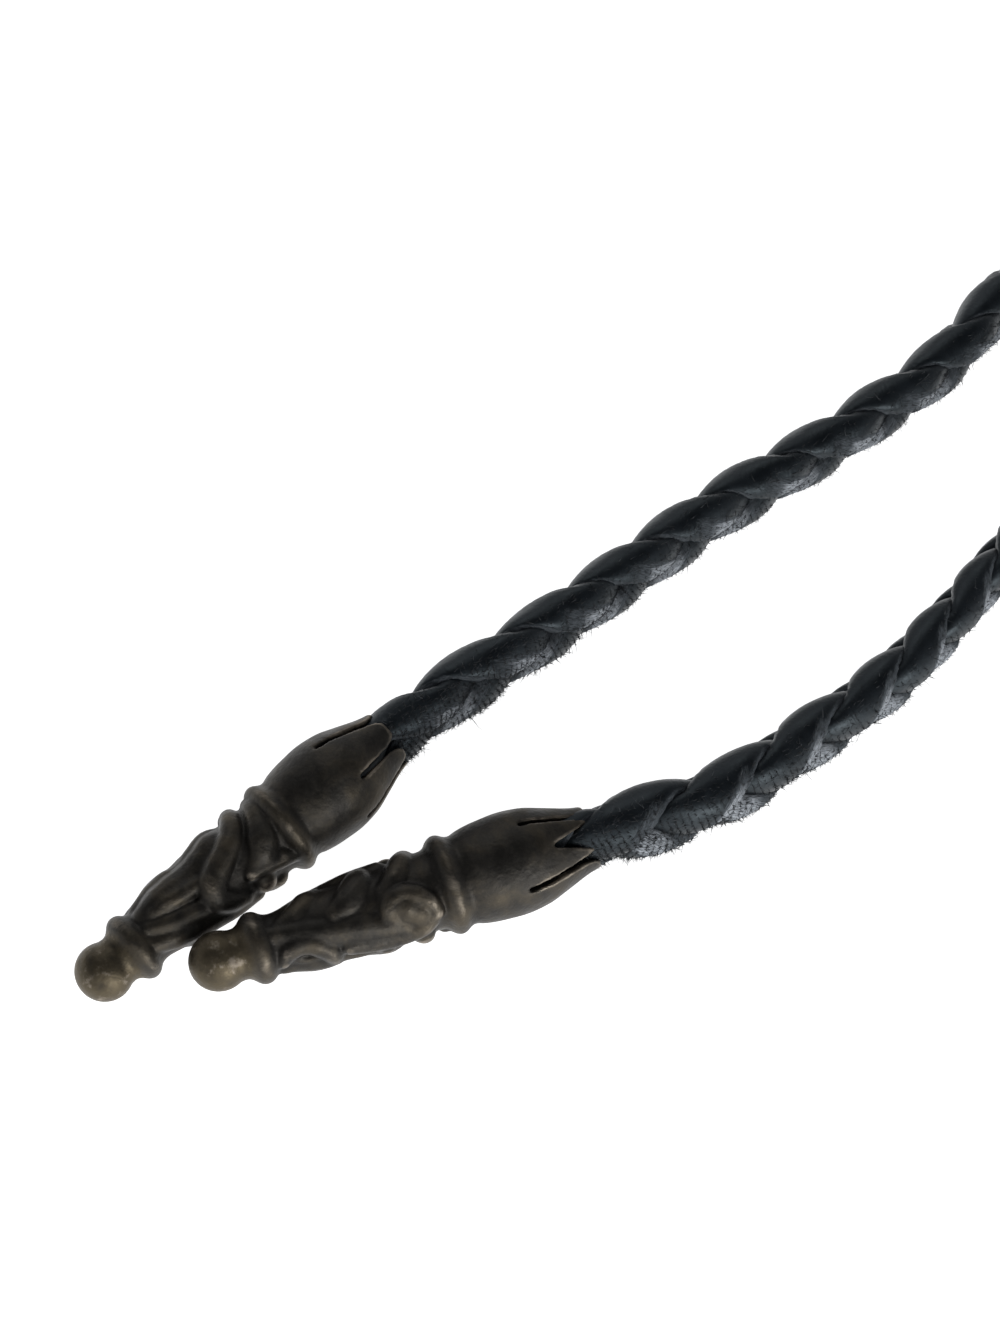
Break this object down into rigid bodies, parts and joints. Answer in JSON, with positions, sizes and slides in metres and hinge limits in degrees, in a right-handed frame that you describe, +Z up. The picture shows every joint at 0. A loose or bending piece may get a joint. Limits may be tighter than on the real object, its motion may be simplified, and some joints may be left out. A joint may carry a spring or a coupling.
{
  "type": "braided leather necklace",
  "caption": "Round braided leather cord necklace lying in a closed curve, with a cast metal bud-shaped cap that ends in a ball on each end of the cord.",
  "frame": {"origin": "middle of the necklace's outline on the surface that it lies on", "axes": "+Z up from that surface, +Y along the necklace from the caps to the back of the neck, +X to the right"},
  "size_m": [0.1856, 0.355, 0.0092],
  "materials": {
    "leather": "black braided leather laces, satin grain side, rough cut edges",
    "silver": "cast silver, dark with oxide, worn lighter on its ridges"
  },
  "bodies": {
    "root": {"braided_cord": "leather", "end_cap_upper": "silver", "end_cap_lower": "silver"}
  },
  "joints": []
}
